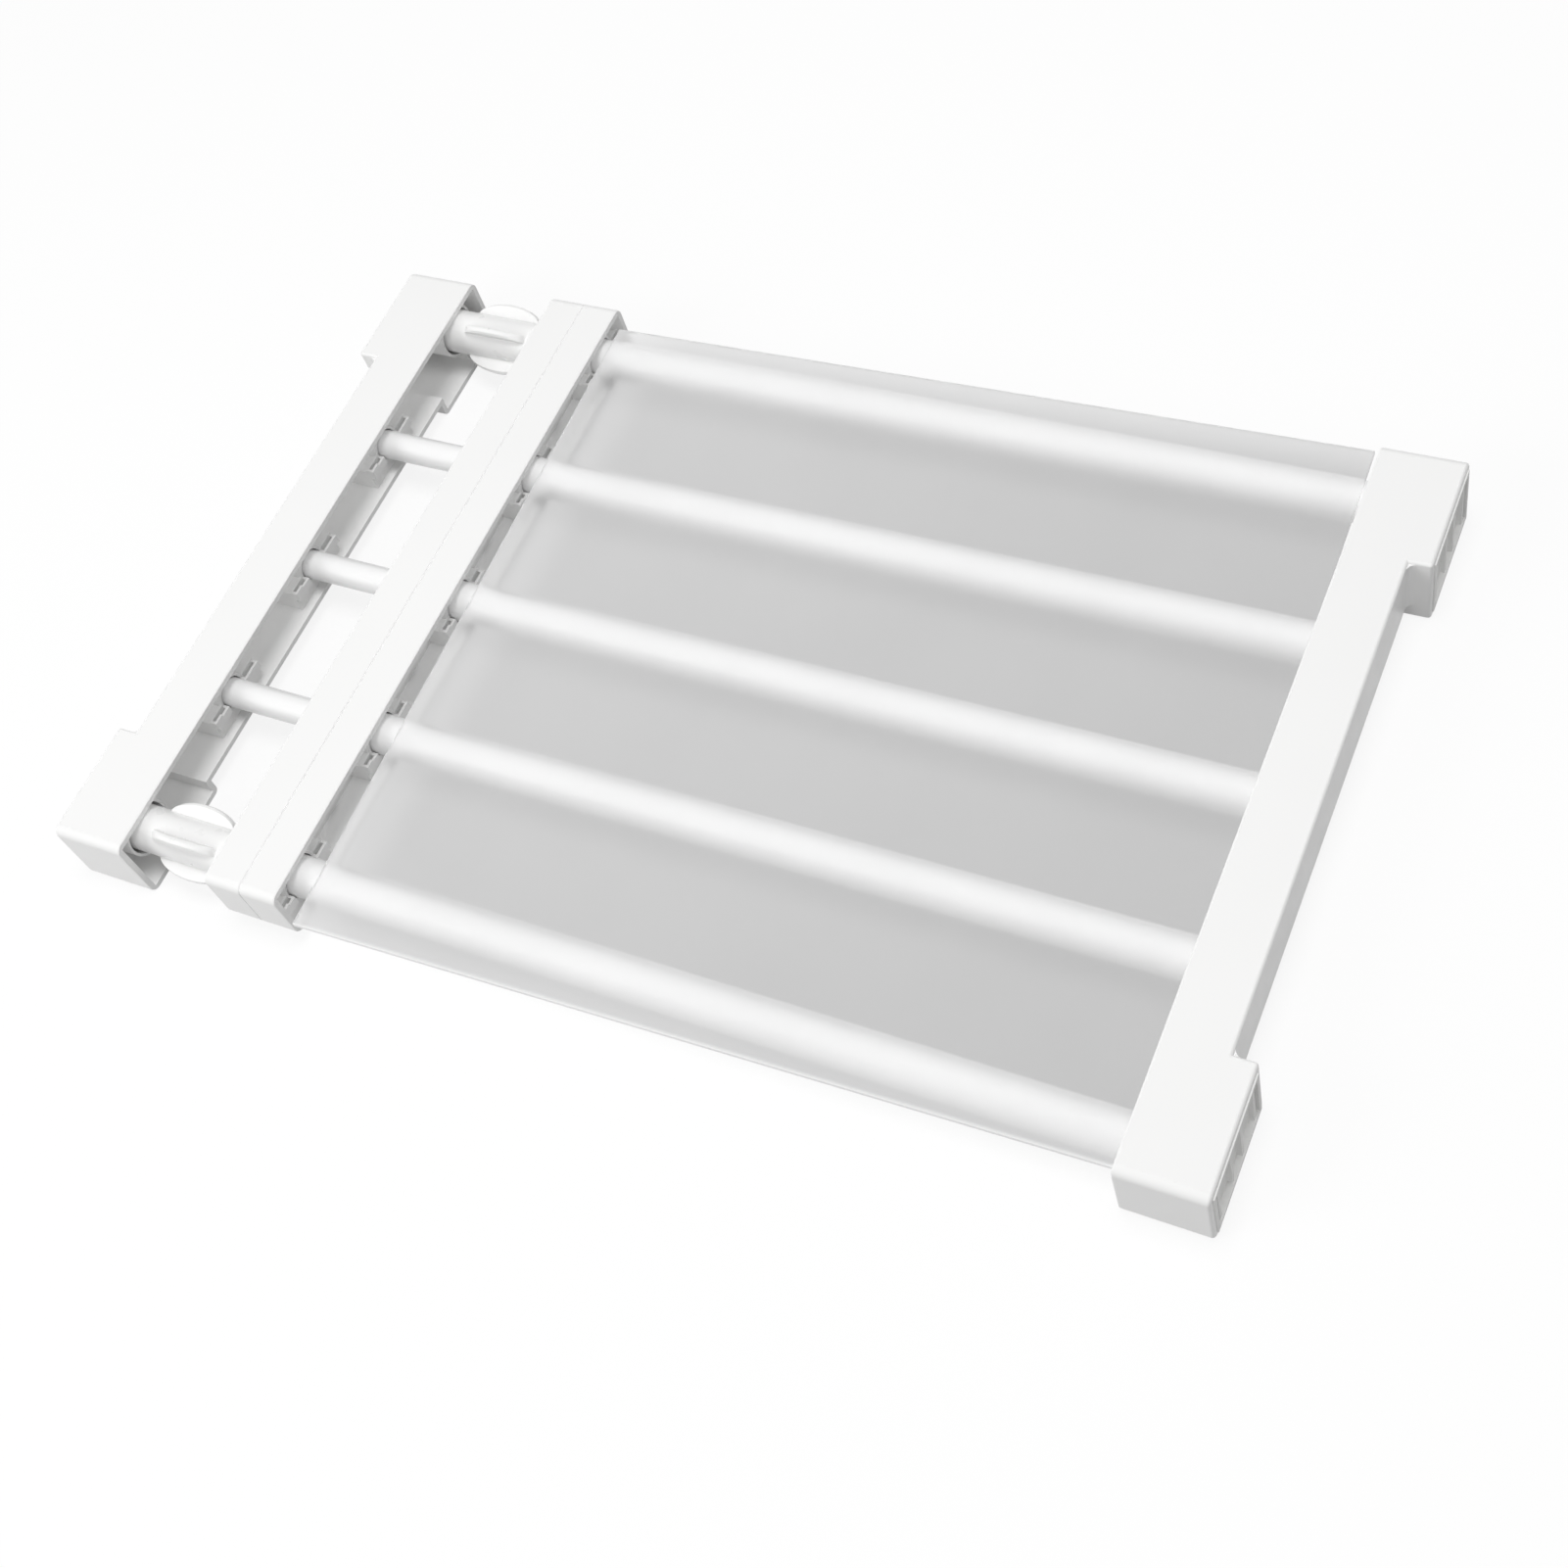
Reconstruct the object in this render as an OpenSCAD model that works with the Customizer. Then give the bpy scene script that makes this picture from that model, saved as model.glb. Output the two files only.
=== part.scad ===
// Closet tension shelf that is clamped between two walls.
// Five rods join a fixed end to a moving end, which slides out of the fixed end's tubes.
// A winged knob on the front rod and one on the rear rod run on screw threads. Turned, they
// bear on the middle bracket and push the moving end out against the wall.
// X runs along the rods, from the moving end to the fixed end. Y runs from front to rear and
// Z runs up. The origin is on the floor, below the middle of the closed shelf.

/* [Shelf] */
// Depth of the shelf, which is the length of each bracket
bracket_l = 240; // [200:1:320]
// Height of the bracket tops above the floor
bracket_h = 26.5; // [25.5:0.5:34]
// How far the moving end can slide out
travel = 150; // [100:5:200]
// Length of rod that stays in the tubes at full travel
rod_overlap = 106; // [80:1:140]
// Room in the tubes past the rod ends when the shelf is closed
tube_end_room = 17; // [17:1:40]
// Gap between the moving end and the middle bracket when the shelf is closed
knob_gap = 33; // [28:0.5:45]
// Distance from a bracket's end to the axis of the outermost rod
rod_inset = 14.5; // [14:0.5:18]

/* [Brackets] */
// Width of an end bracket between its feet
body_w = 18.8; // [18:0.1:26]
// How far the feet stand out towards the wall
foot_out = 7.3; // [6.5:0.1:12]
// Length of a foot along the bracket
foot_l = 40; // [36:0.5:46]
// How far the feet reach below the rest of the bracket
foot_drop = 5.5; // [4.5:0.1:8]
// Width of each half of the middle bracket
half_w = 13; // [12.5:0.1:18]
// Thickness of the bracket walls
wall = 2; // [1.6:0.1:2.4]
// Radius of the bracket's outer corners seen along the rods
corner_r = 3; // [2:0.1:3.2]
// Radius of a foot's lower inner corner seen along the rods
inner_corner_r = 2; // [1.5:0.1:3]
// Radius of the other rounded bracket edges
edge_r = 1; // [0.6:0.1:1.4]
// How much of that rounding is cut off at the open rims
rim_cut = 0.4; // [0.2:0.1:0.5]
// Radius of the hollow where a foot meets the bracket
step_r = 2.5; // [1:0.1:4]

/* [Rods] */
// Outer diameter of the fixed tubes
tube_d = 13; // [12.4:0.1:13.4]
// Wall of the fixed tubes
tube_wall = 1; // [0.6:0.1:1]
// Outer diameter of the plain sliding rods
rod_d = 9.6; // [8.6:0.1:9.8]
// Wall of the plain sliding rods
rod_wall = 0.8; // [0.5:0.1:1.2]
// Core diameter of the screw rods
screw_core_d = 8.6; // [8:0.1:9]
// Height of the screw thread above the core
thread_h = 0.9; // [0.5:0.1:0.9]
// Advance of the screw thread in one turn
thread_lead = 8; // [6:0.5:12]
// Width of the thread's crest
thread_crest = 1; // [0.6:0.1:1.6]
// Width of each sloped flank of the thread
thread_flank = 1.1; // [0.8:0.1:1.6]

/* [Rod sockets] */
// Width of the cradle block under a rod end
cradle_w = 26; // [24:0.5:27]
// How far a cradle and its collar stay behind the bracket's open edge
collar_setback = 3.2; // [2.6:0.1:3.6]
// Wall of the collar at its mouth
collar_wall = 0.9; // [0.7:0.1:1.1]
// Gap between a rod and its collar at the mouth
mouth_gap = 0.5; // [0.3:0.05:0.6]
// Depth of that wider mouth
mouth_depth = 3; // [2:0.1:4]
// Width of the slots beside a rod in front of its cradle
slot_w = 1.2; // [0.8:0.1:1.4]
// Depth of those slots
slot_depth = 3; // [2:0.1:6]
// Thickness of the ribs round the slots
rib_t = 0.9; // [0.6:0.1:1.2]
// Height of those ribs above the cradle block
rib_h = 0.8; // [0.4:0.1:1.4]
// Thickness of the socket floor behind a rod end
socket_floor = 2; // [1.5:0.1:2.5]

/* [Knobs] */
// Diameter of the knob's barrel
knob_d = 14.9; // [14:0.1:15.4]
// Rounding of the knob's outer end
knob_rim = 1; // [0.5:0.1:1.2]
// Diameter across the tips of the wings
wing_span = 24.2; // [20:0.1:25]
// Thickness of a wing at its root
wing_t = 2.6; // [2:0.1:3.4]
// Thickness of a wing at its tip
wing_tip_t = 1.2; // [0.8:0.1:1.6]
// Gap from the moving end bracket to the wings
wing_gap_outer = 4.9; // [3:0.1:8]
// Gap from the wings to the middle bracket
wing_gap_inner = 3.9; // [3.4:0.1:8]
// Turn of the wings about the rod, from upright
wing_turn = 29; // [0:1:90]
// Diameter of the collar at the knob's bearing end
knob_collar_d = 16.2; // [15.6:0.1:16.6]
// How far that collar shows outside the middle bracket
knob_collar_out = 3; // [1:0.1:3.6]
// How far the knob reaches into the moving end bracket
knob_nest = 11; // [8:0.1:11.5]
// How far the knob reaches into the middle bracket
knob_seat = 2.5; // [1:0.1:3]
// Gap round the knob in the moving end bracket
knob_nest_gap = 1; // [0.5:0.1:1.2]

/* [Wall pads] */
// Depth of the pocket that holds a wall pad
pocket_depth = 3; // [2:0.1:3.4]
// Width of the rim round the pocket
pocket_rim = 2; // [1.6:0.1:2.6]
// How far a wall pad stands out of its foot
pad_proud = 0.4; // [0.2:0.1:1]
// Depth of the cells in a wall pad
cell_depth = 2; // [1:0.1:2.4]
// Width of the border and the ribs of a wall pad
cell_rib = 1.4; // [1:0.1:1.8]
// How far the ribs stay below the border
rib_recess = 0.5; // [0:0.1:0.8]
// Distance from the middle of a pad to each inner rib
inner_rib = 4; // [2:0.1:6]
// Distance from the middle of a pad to each outer rib
outer_rib = 14.2; // [12:0.1:15]

/* [Mat] */
// Thickness of the frosted mat
mat_t = 1.7; // [0.5:0.1:1.8]
// How much narrower the mat is than the shelf is deep
mat_narrower = 3.7; // [2:0.1:12]
// Turn of the loose mat seen from above
mat_skew = 1.35; // [0:0.05:1.5]
// Gap from the middle bracket to the mat's nearest corner
mat_left_gap = 3; // [2:0.1:10]
// Gap from the fixed end bracket to the mat's rear corner
mat_rear_gap = 1.6; // [0.4:0.1:6]
// Gap between the front wall of the fixed end bracket and the corner tucked in behind it
mat_side_gap = 0.4; // [0.2:0.1:2]
// Gap between the tucked corner of the mat and the collars
mat_end_gap = 1; // [0.5:0.1:2]

/* [Fasteners] */
// Shank diameter of all screws
fix_d = 3; // [2:0.1:3.4]
// Head diameter of all screws
fix_head_d = 6; // [5:0.1:6.4]
// Head height of all screws
fix_head_h = 1.6; // [1.2:0.1:1.8]
// Length of the screws that hold rods and tubes in their sockets
fix_rod_l = 16; // [12:0.5:20]
// Length of the screws that join the halves of the middle bracket
fix_joint_l = 8; // [6:0.5:9]
// Diameter of the bosses those screws bite into
fix_boss_d = 7; // [6:0.1:9]

/* [Plugs and bushes] */
// Length of a glide plug's head
glide_head_l = 6; // [4:0.5:9]
// Length of a glide plug's shank
glide_shank_l = 12; // [8:0.5:20]
// Diameter of the spigot that a screw rod's glide plug sits on
spigot_d = 6; // [5:0.1:7]
// Wall of a guide bush
bush_wall = 1.5; // [1:0.1:1.8]
// Width of a guide bush's flange beyond its barrel
bush_flange = 1; // [0.6:0.1:1.4]
// Thickness of a guide bush's flange
bush_flange_t = 1.2; // [0.8:0.1:1.6]
// Wall of the boss round a guide bush
bush_boss_wall = 1.3; // [1:0.1:1.6]
// Length of the plugs in the fixed tubes' ends
end_plug_l = 14; // [10:0.5:16]

/* [Clearances] */
// Gap round a rod, tube, plug or bush that is pushed into its seat
seat_fit = 0.05; // [0.03:0.01:0.1]
// Gap round a rod that slides in its bush
slide_fit = 0.1; // [0.05:0.01:0.2]
// Gap round a glide plug in its tube
glide_fit = 0.2; // [0.1:0.01:0.3]
// Gap round the thread in the knob
thread_fit = 0.3; // [0.2:0.01:0.4]
// Gap between the knob and the face that it bears on
thrust_fit = 0.3; // [0.2:0.01:0.5]
// Gap round a wall pad in its pocket
pad_fit = 0.1; // [0.05:0.01:0.3]
// Gap between the tubes and the mat that lies on them
mat_fit = 0.1; // [0.05:0.01:0.3]

/* [Hidden] */

// Overlap of joined shapes and overshoot of cuts
bite = wall / 4;
// Facets on round surfaces
round_fn = 64;

// Rods are numbered from front to rear. The first and the last are screw rods.
rod_pitch = (bracket_l - 2 * rod_inset) / 4;
plain_rods = [2, 3, 4];
screw_rods = [1, 5];
rod_z = (foot_drop + bracket_h) / 2;

// Places along X
end_w = foot_out + body_w;
tube_span = travel + rod_overlap - half_w + tube_end_room;
shelf_l = 2 * end_w + knob_gap + 2 * half_w + tube_span;
left_x = -shelf_l / 2;
moving_edge_x = left_x + end_w;
guide_x = moving_edge_x + knob_gap;
seam_x = guide_x + half_w;
tube_edge_x = seam_x + half_w;
fixed_edge_x = tube_edge_x + tube_span;
rod_tip_x = seam_x + travel + rod_overlap;

// Distances inwards from a wall face, the same at both ends
pocket_u = pad_proud + pocket_depth;
foot_floor_u = pocket_u + wall;
body_floor_u = foot_out + wall;
socket_u = body_floor_u + socket_floor;
screw_seat_u = foot_floor_u + socket_floor;
nest_u = end_w - knob_nest - thrust_fit;

// Radii
rod_r = rod_d / 2;
tube_r = tube_d / 2;
tube_bore_r = tube_r - tube_wall;
core_r = screw_core_d / 2;
crest_r = core_r + thread_h;
knob_r = knob_d / 2;
knob_bore_r = crest_r + thread_fit;
bush_r = rod_r + slide_fit + bush_wall;
pass_r = max(rod_r, crest_r) + thread_fit;
pilot_r = fix_d / 2 + seat_fit;

// Knob stations, measured from its outer end
knob_l = knob_nest + knob_gap + knob_seat;
wing_start = knob_nest + wing_gap_outer;
wing_end = knob_nest + knob_gap - wing_gap_inner;
collar_start = knob_nest + knob_gap - knob_collar_out;

// Thread, long enough for the knob's whole travel
thread_start_u = nest_u + knob_nest / 2;
thread_l = knob_l - knob_nest / 2 + travel;
thread_steps = 14;

// Mat
mat_w = bracket_l - mat_narrower;
mat_l = (tube_span - mat_left_gap - mat_rear_gap) / cos(mat_skew);
mat_z = rod_z + tube_r + mat_fit;
mat_tuck = mat_w * sin(mat_skew) - mat_rear_gap;
deep_collar_setback = max(collar_setback, mat_tuck + mat_end_gap);

function rod_y(i) = (i - 3) * rod_pitch;

// Colours
bracket_white = [0.95, 0.95, 0.94];
tube_white = [0.97, 0.97, 0.97];
screw_white = [0.9, 0.9, 0.89];
pad_white = [0.86, 0.86, 0.85];
mat_frost = [0.86, 0.87, 0.88, 0.7];
steel = [0.7, 0.71, 0.73];

// Shared shapes

// Round bar along X
module bar(x0, x1, r) {
    translate([x0, 0, 0]) rotate([0, 90, 0]) cylinder(h = x1 - x0, r = r, $fn = round_fn);
}

// Block between two corners
module block(low, high) {
    translate(low) cube(high - low);
}

// Corner of a soft block, with the given radius seen along X
module soft_corner(r) {
    rotate([0, 90, 0]) rotate_extrude($fn = 32)
        intersection() {
            translate([r - edge_r, 0]) circle(r = edge_r, $fn = 24);
            translate([0, -edge_r]) square([r, 2 * edge_r]);
        }
}

// Block with softly rounded edges. The radii of its corners seen along X are given for its low
// Y side, at the bottom and the top, and then for its high Y side.
module soft_block(low, high, r) {
    corners = [[low.y + r[0], low.z + r[0], r[0]], [low.y + r[1], high.z - r[1], r[1]],
               [high.y - r[2], low.z + r[2], r[2]], [high.y - r[3], high.z - r[3], r[3]]];
    hull()
        for (x = [low.x + edge_r, high.x - edge_r])
            for (c = corners)
                translate([x, c[0], c[1]]) soft_corner(c[2]);
}

// Moves a shape that is drawn inwards from a wall face to the left or the right end
module at_left() {
    translate([left_x, 0, 0]) children();
}
module at_right() {
    mirror([1, 0, 0]) at_left() children();
}
module at_rod(i) {
    translate([0, rod_y(i), rod_z]) children();
}

// Self-tapping screw with a flat head, whose shank points along +X from the origin
module fixing_screw(length) {
    bar(-fix_head_h, 0, fix_head_d / 2);
    bar(-bite, length, fix_d / 2);
}

// End bracket without its sockets, drawn inwards from the wall face

// Fills the hollow corner where a foot meets the bracket
module step_fillet(side) {
    y0 = side * (bracket_l / 2 - foot_l);
    arc = [for (a = [0:15:90]) [foot_out - step_r + step_r * sin(a),
                                y0 - side * step_r * (1 - cos(a))]];
    translate([0, 0, foot_drop + edge_r])
        linear_extrude(bracket_h - foot_drop - 2 * edge_r)
            polygon(concat(arc, [[foot_out + bite, y0 - side * step_r], [foot_out + bite, y0 + side * bite],
                                 [foot_out - step_r, y0 + side * bite]]));
}

module end_shell() {
    foot_y = bracket_l / 2 - foot_l;
    cut_w = end_w + rim_cut;
    difference() {
        union() {
            soft_block([foot_out, -foot_y - foot_l / 2, foot_drop], [cut_w, foot_y + foot_l / 2, bracket_h],
                       [corner_r, corner_r, corner_r, corner_r]);
            soft_block([pad_proud, -bracket_l / 2, 0], [cut_w, -foot_y, bracket_h],
                       [corner_r, corner_r, inner_corner_r, edge_r]);
            soft_block([pad_proud, foot_y, 0], [cut_w, bracket_l / 2, bracket_h],
                       [inner_corner_r, edge_r, corner_r, corner_r]);
            for (side = [-1, 1])
                step_fillet(side);
        }
        block([end_w, -bracket_l, -bite], [end_w + 2 * rim_cut, bracket_l, bracket_h + bite]);
        block([body_floor_u, -foot_y - wall - bite, foot_drop + wall],
              [end_w + bite, foot_y + wall + bite, bracket_h - wall]);
        for (side = [-1, 1])
            translate([0, side * (bracket_l - foot_l) / 2, 0]) {
                block([foot_floor_u, wall - foot_l / 2, wall],
                      [end_w + bite, foot_l / 2 - wall, bracket_h - wall]);
                block([pad_proud - bite, pocket_rim - foot_l / 2, pocket_rim],
                      [pocket_u, foot_l / 2 - pocket_rim, bracket_h - pocket_rim]);
            }
    }
}

// Cradle under a rod end, with a collar round the rod and a thin loop on each side in front of
// it. It is drawn about the rod's axis, from the wall behind it towards the bracket's open edge.
module cradle(back, edge, setback, depth, r) {
    half = cradle_w / 2;
    face = edge - setback;
    front = face + slot_w + rib_t;
    mouth_r = r + mouth_gap;
    difference() {
        union() {
            block([back - bite, -half, -depth - bite], [face, half, 0]);
            bar(back - bite, face, mouth_r + collar_wall);
            for (side = [-1, 1])
                translate([0, side * (half + mouth_r) / 2, 0]) {
                    block([face - rib_t, (mouth_r - half) / 2, -bite], [face, (half - mouth_r) / 2, rib_h]);
                    block([face - rib_t, (mouth_r - half) / 2, -slot_depth], [front, (half - mouth_r) / 2, 0]);
                }
            block([face, -half, -bite], [front, rib_t - half, rib_h]);
            block([face + slot_w, -half, -bite], [front, -half / 2 - mouth_r / 2, rib_h]);
        }
        for (side = [-1, 1])
            translate([face, side * (half + mouth_r) / 2, 0])
                block([0, (mouth_r - half) / 2 + rib_t, -slot_depth - bite],
                      [slot_w, (half - mouth_r) / 2 - rib_t, rib_h + bite]);
    }
}

// Bore of such a cradle, from its floor to past the open edge
module cradle_bore(floor, edge, setback, r) {
    bar(floor, edge + bite, r + seat_fit);
    bar(edge - setback - mouth_depth, edge + bite, r + mouth_gap);
}

// Clearance for a fixing screw that is driven inwards from a pad pocket
module pocket_screw_hole() {
    bar(pocket_u - bite, pocket_u + fix_head_h + seat_fit, fix_head_d / 2 + seat_fit);
    bar(pocket_u, screw_seat_u + bite, pilot_r);
}

// End bracket of the moving end, with a nest round each knob
module moving_end_bracket() {
    nest_r = knob_r + knob_nest_gap;
    nest_wall = collar_wall;
    color(bracket_white) at_left() difference() {
        union() {
            end_shell();
            for (i = plain_rods)
                at_rod(i) cradle(body_floor_u, end_w, collar_setback, rod_z - foot_drop - wall, rod_r);
            for (i = screw_rods)
                at_rod(i) {
                    bar(foot_floor_u - bite, end_w - collar_setback, nest_r + nest_wall);
                    block([foot_floor_u - bite, -wall / 2, wall - rod_z - bite],
                          [end_w - collar_setback, wall / 2, -nest_r - bite / 2]);
                }
        }
        for (i = plain_rods)
            at_rod(i) cradle_bore(socket_u, end_w, collar_setback, rod_r);
        for (i = screw_rods)
            at_rod(i) {
                bar(nest_u, end_w + bite, nest_r);
                bar(screw_seat_u, end_w, core_r + seat_fit);
                pocket_screw_hole();
            }
    }
}

// End bracket of the fixed end, with a cradle for each tube
module fixed_end_bracket() {
    color(bracket_white) at_right() difference() {
        union() {
            end_shell();
            for (i = plain_rods)
                at_rod(i) cradle(body_floor_u, end_w, deep_collar_setback, rod_z - foot_drop - wall, tube_r);
            for (i = screw_rods)
                at_rod(i) cradle(foot_floor_u, end_w, deep_collar_setback, rod_z - wall, tube_r);
        }
        for (i = concat(plain_rods, screw_rods))
            at_rod(i) cradle_bore(socket_u, end_w, deep_collar_setback, tube_r);
        for (i = screw_rods)
            at_rod(i) {
                pocket_screw_hole();
                bar(screw_seat_u, socket_u + bite, pilot_r);
            }
    }
}

// Half of the middle bracket, a channel that lies along Y with its web at the seam and its
// open side towards +X
module half_shell() {
    cut_w = half_w + rim_cut;
    difference() {
        hull()
            for (y = [corner_r - bracket_l / 2, bracket_l / 2 - corner_r])
                for (z = [foot_drop + corner_r, bracket_h - corner_r]) {
                    translate([0, y, z]) rotate([0, 90, 0]) cylinder(h = half_w / 2, r = corner_r, $fn = 32);
                    translate([cut_w - edge_r, y, z]) soft_corner(corner_r);
                }
        block([half_w, -bracket_l, 0], [half_w + 2 * rim_cut, bracket_l, 2 * bracket_h]);
        block([wall, wall - bracket_l / 2, foot_drop + wall],
              [half_w + bite, bracket_l / 2 - wall, bracket_h - wall]);
    }
}

// Places of the screws that join the halves, midway between rods
joint_screw_y = [for (i = [1:4]) (rod_y(i) + rod_y(i + 1)) / 2];

// Half of the middle bracket that guides the sliding rods and takes the knobs' thrust
module guide_bracket() {
    thrust_u = half_w - knob_seat - thrust_fit;
    bush_seat_r = bush_r + seat_fit;
    flange_room = bush_flange_t + seat_fit;
    boss_end = half_w - 2 * bite;
    color(bracket_white) translate([seam_x, 0, 0]) mirror([1, 0, 0]) difference() {
        union() {
            half_shell();
            for (i = plain_rods)
                at_rod(i) bar(bite, boss_end - flange_room, bush_seat_r + bush_boss_wall);
            for (i = screw_rods)
                at_rod(i) bar(bite, thrust_u, knob_collar_d / 2);
            for (y = joint_screw_y)
                translate([0, y, rod_z]) bar(bite, fix_joint_l + wall / 2, fix_boss_d / 2);
        }
        for (i = plain_rods)
            at_rod(i) {
                bar(-bite, half_w, pass_r);
                bar(wall, half_w, bush_seat_r);
            }
        for (i = screw_rods)
            at_rod(i) bar(-bite, half_w, pass_r);
        for (y = joint_screw_y)
            translate([0, y, rod_z]) bar(-bite, fix_joint_l + wall / 2 - bite, pilot_r);
    }
}

// Half of the middle bracket that the fixed tubes stand in
module tube_bracket() {
    color(bracket_white) translate([seam_x, 0, 0]) difference() {
        union() {
            half_shell();
            for (i = concat(plain_rods, screw_rods))
                at_rod(i) cradle(wall, half_w, collar_setback, rod_z - foot_drop - wall, tube_r);
        }
        for (i = concat(plain_rods, screw_rods))
            at_rod(i) {
                cradle_bore(wall, half_w, collar_setback, tube_r);
                bar(-bite, half_w, pass_r);
            }
        for (y = joint_screw_y)
            translate([0, y, rod_z]) bar(-bite, half_w, pilot_r);
    }
}

// Fixed tube between the middle bracket and the fixed end
module outer_tube(i) {
    color(tube_white) at_rod(i) difference() {
        bar(seam_x + wall + seat_fit, -left_x - socket_u - seat_fit, tube_r);
        bar(seam_x, -left_x, tube_bore_r);
    }
}

// Plain rod of the moving end
module sliding_rod(i) {
    color(tube_white) at_rod(i) difference() {
        bar(left_x + socket_u + seat_fit, rod_tip_x, rod_r);
        bar(left_x, rod_tip_x + bite, rod_r - rod_wall);
    }
}

// Four points of the thread at one step round the rod, sunk a little into the core
function thread_ring(n) =
    let (a = 360 * n / thread_steps, x = thread_lead * n / thread_steps, y = cos(a), z = sin(a))
    [[x, (core_r - bite) * y, (core_r - bite) * z],
     [x + thread_flank, crest_r * y, crest_r * z],
     [x + thread_flank + thread_crest, crest_r * y, crest_r * z],
     [x + 2 * thread_flank + thread_crest, (core_r - bite) * y, (core_r - bite) * z]];

// Right-handed ridge of the screw thread
module thread_ridge() {
    steps = floor((thread_l - 2 * thread_flank - thread_crest) / thread_lead * thread_steps);
    rings = [for (n = [0:steps]) each thread_ring(n)];
    sides = [for (n = [0:steps - 1]) for (k = [0:3])
        let (a = 4 * n + k, b = 4 * n + (k + 1) % 4) each [[a, b, b + 4], [a, b + 4, a + 4]]];
    last = 4 * steps;
    caps = [[3, 2, 1], [3, 1, 0], [last, last + 1, last + 2], [last, last + 2, last + 3]];
    polyhedron(rings, concat(sides, caps));
}

// Threaded rod of the moving end
module screw_rod(i) {
    color(screw_white) at_rod(i) difference() {
        union() {
            bar(left_x + screw_seat_u + seat_fit, rod_tip_x, core_r);
            bar(rod_tip_x - bite, rod_tip_x + glide_shank_l, spigot_d / 2);
            translate([left_x + thread_start_u, 0, 0]) thread_ridge();
        }
        bar(left_x, left_x + pocket_u + fix_head_h + fix_rod_l + bite, pilot_r);
    }
}

// Side outline of a wing, a half ellipse with its tip at the given height above the barrel
module wing_outline(tip) {
    curve = [for (a = [0:9:180]) [(wing_start + wing_end) / 2 - (wing_end - wing_start) / 2 * cos(a),
                                  knob_r - bite + (tip + bite) * sin(a)]];
    polygon(concat([[wing_start, 0]], curve, [[wing_end, 0]]));
}

module wing() {
    height = wing_span / 2 - knob_r;
    bevel = (wing_t - wing_tip_t) / 2;
    rotate([90, 0, 0]) hull() {
        translate([0, 0, -wing_t / 2]) linear_extrude(wing_t) wing_outline(height - bevel);
        translate([0, 0, -wing_tip_t / 2]) linear_extrude(wing_tip_t) wing_outline(height);
    }
}

// Winged nut that runs on a screw rod and bears on the middle bracket
module winged_knob(i) {
    collar_r = knob_collar_d / 2;
    flare = collar_r - knob_r;
    color(bracket_white) translate([left_x + end_w - knob_nest, 0, 0]) at_rod(i) difference() {
        union() {
            rotate([0, 90, 0]) rotate_extrude($fn = round_fn)
                polygon([[0, 0], [knob_r - knob_rim, 0], [knob_r - knob_rim * 0.3, knob_rim * 0.3], [knob_r, knob_rim],
                         [knob_r, collar_start], [collar_r, collar_start + flare], [collar_r, knob_l], [0, knob_l]]);
            for (turn = [0:90:270])
                rotate([wing_turn + turn, 0, 0]) wing();
        }
        bar(-bite, knob_l + bite, knob_bore_r);
    }
}

// Plug that guides the inner end of a plain rod in its tube
module glide_plug(i) {
    color(bracket_white) at_rod(i) {
        bar(rod_tip_x + seat_fit, rod_tip_x + glide_head_l, tube_bore_r - glide_fit);
        bar(rod_tip_x - glide_shank_l, rod_tip_x + 2 * seat_fit, rod_r - rod_wall - seat_fit);
    }
}

// Sleeve that guides the inner end of a screw rod in its tube
module glide_sleeve(i) {
    color(bracket_white) at_rod(i) difference() {
        bar(rod_tip_x + seat_fit, rod_tip_x + glide_shank_l, tube_bore_r - glide_fit);
        bar(rod_tip_x - bite, rod_tip_x + glide_shank_l + bite, spigot_d / 2 + seat_fit);
    }
}

// Flanged bush that a plain rod slides in
module guide_bush(i) {
    outer = half_w - 2 * bite;
    color(screw_white) translate([seam_x, 0, 0]) mirror([1, 0, 0]) at_rod(i) difference() {
        union() {
            bar(wall + seat_fit, outer, bush_r);
            bar(outer - bush_flange_t, outer, bush_r + bush_flange);
        }
        bar(0, half_w, rod_r + slide_fit);
    }
}

// Plug in the end of a fixed tube, which its screw bites into
module tube_end_plug(i) {
    color(bracket_white) at_right() at_rod(i) difference() {
        bar(socket_u + seat_fit, socket_u + end_plug_l, tube_bore_r - seat_fit);
        bar(socket_u, socket_u + end_plug_l + bite, pilot_r);
    }
}

// Soft pad in the pocket of a foot. Ribs part it into cells inside a border.
module wall_pad(side) {
    rim = pocket_rim + pad_fit;
    half_l = foot_l / 2 - rim;
    low_z = rim + cell_rib;
    high_z = bracket_h - rim - cell_rib;
    rib = cell_rib / 2;
    stops = [cell_rib - half_l, -outer_rib - rib, -outer_rib + rib, -inner_rib - rib, -inner_rib + rib,
             inner_rib - rib, inner_rib + rib, outer_rib - rib, outer_rib + rib, half_l - cell_rib];
    color(pad_white) translate([0, side * (bracket_l - foot_l) / 2, 0]) difference() {
        block([0, -half_l, rim], [pocket_u - seat_fit, half_l, bracket_h - rim]);
        block([-bite, cell_rib - half_l, low_z], [rib_recess, half_l - cell_rib, high_z]);
        for (c = [0:2:8])
            block([-bite, stops[c], low_z], [cell_depth, stops[c + 1], high_z]);
    }
}

module moving_end_screws() {
    color(steel) at_left()
        for (i = screw_rods)
            at_rod(i) translate([pocket_u + fix_head_h, 0, 0]) fixing_screw(fix_rod_l);
}

module fixed_end_screws() {
    color(steel) at_right()
        for (i = screw_rods)
            at_rod(i) translate([pocket_u + fix_head_h, 0, 0]) fixing_screw(fix_rod_l);
}

module middle_bracket_screws() {
    color(steel)
        for (y = joint_screw_y)
            translate([seam_x + wall + seat_fit, y, rod_z]) mirror([1, 0, 0]) fixing_screw(fix_joint_l);
}

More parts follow.
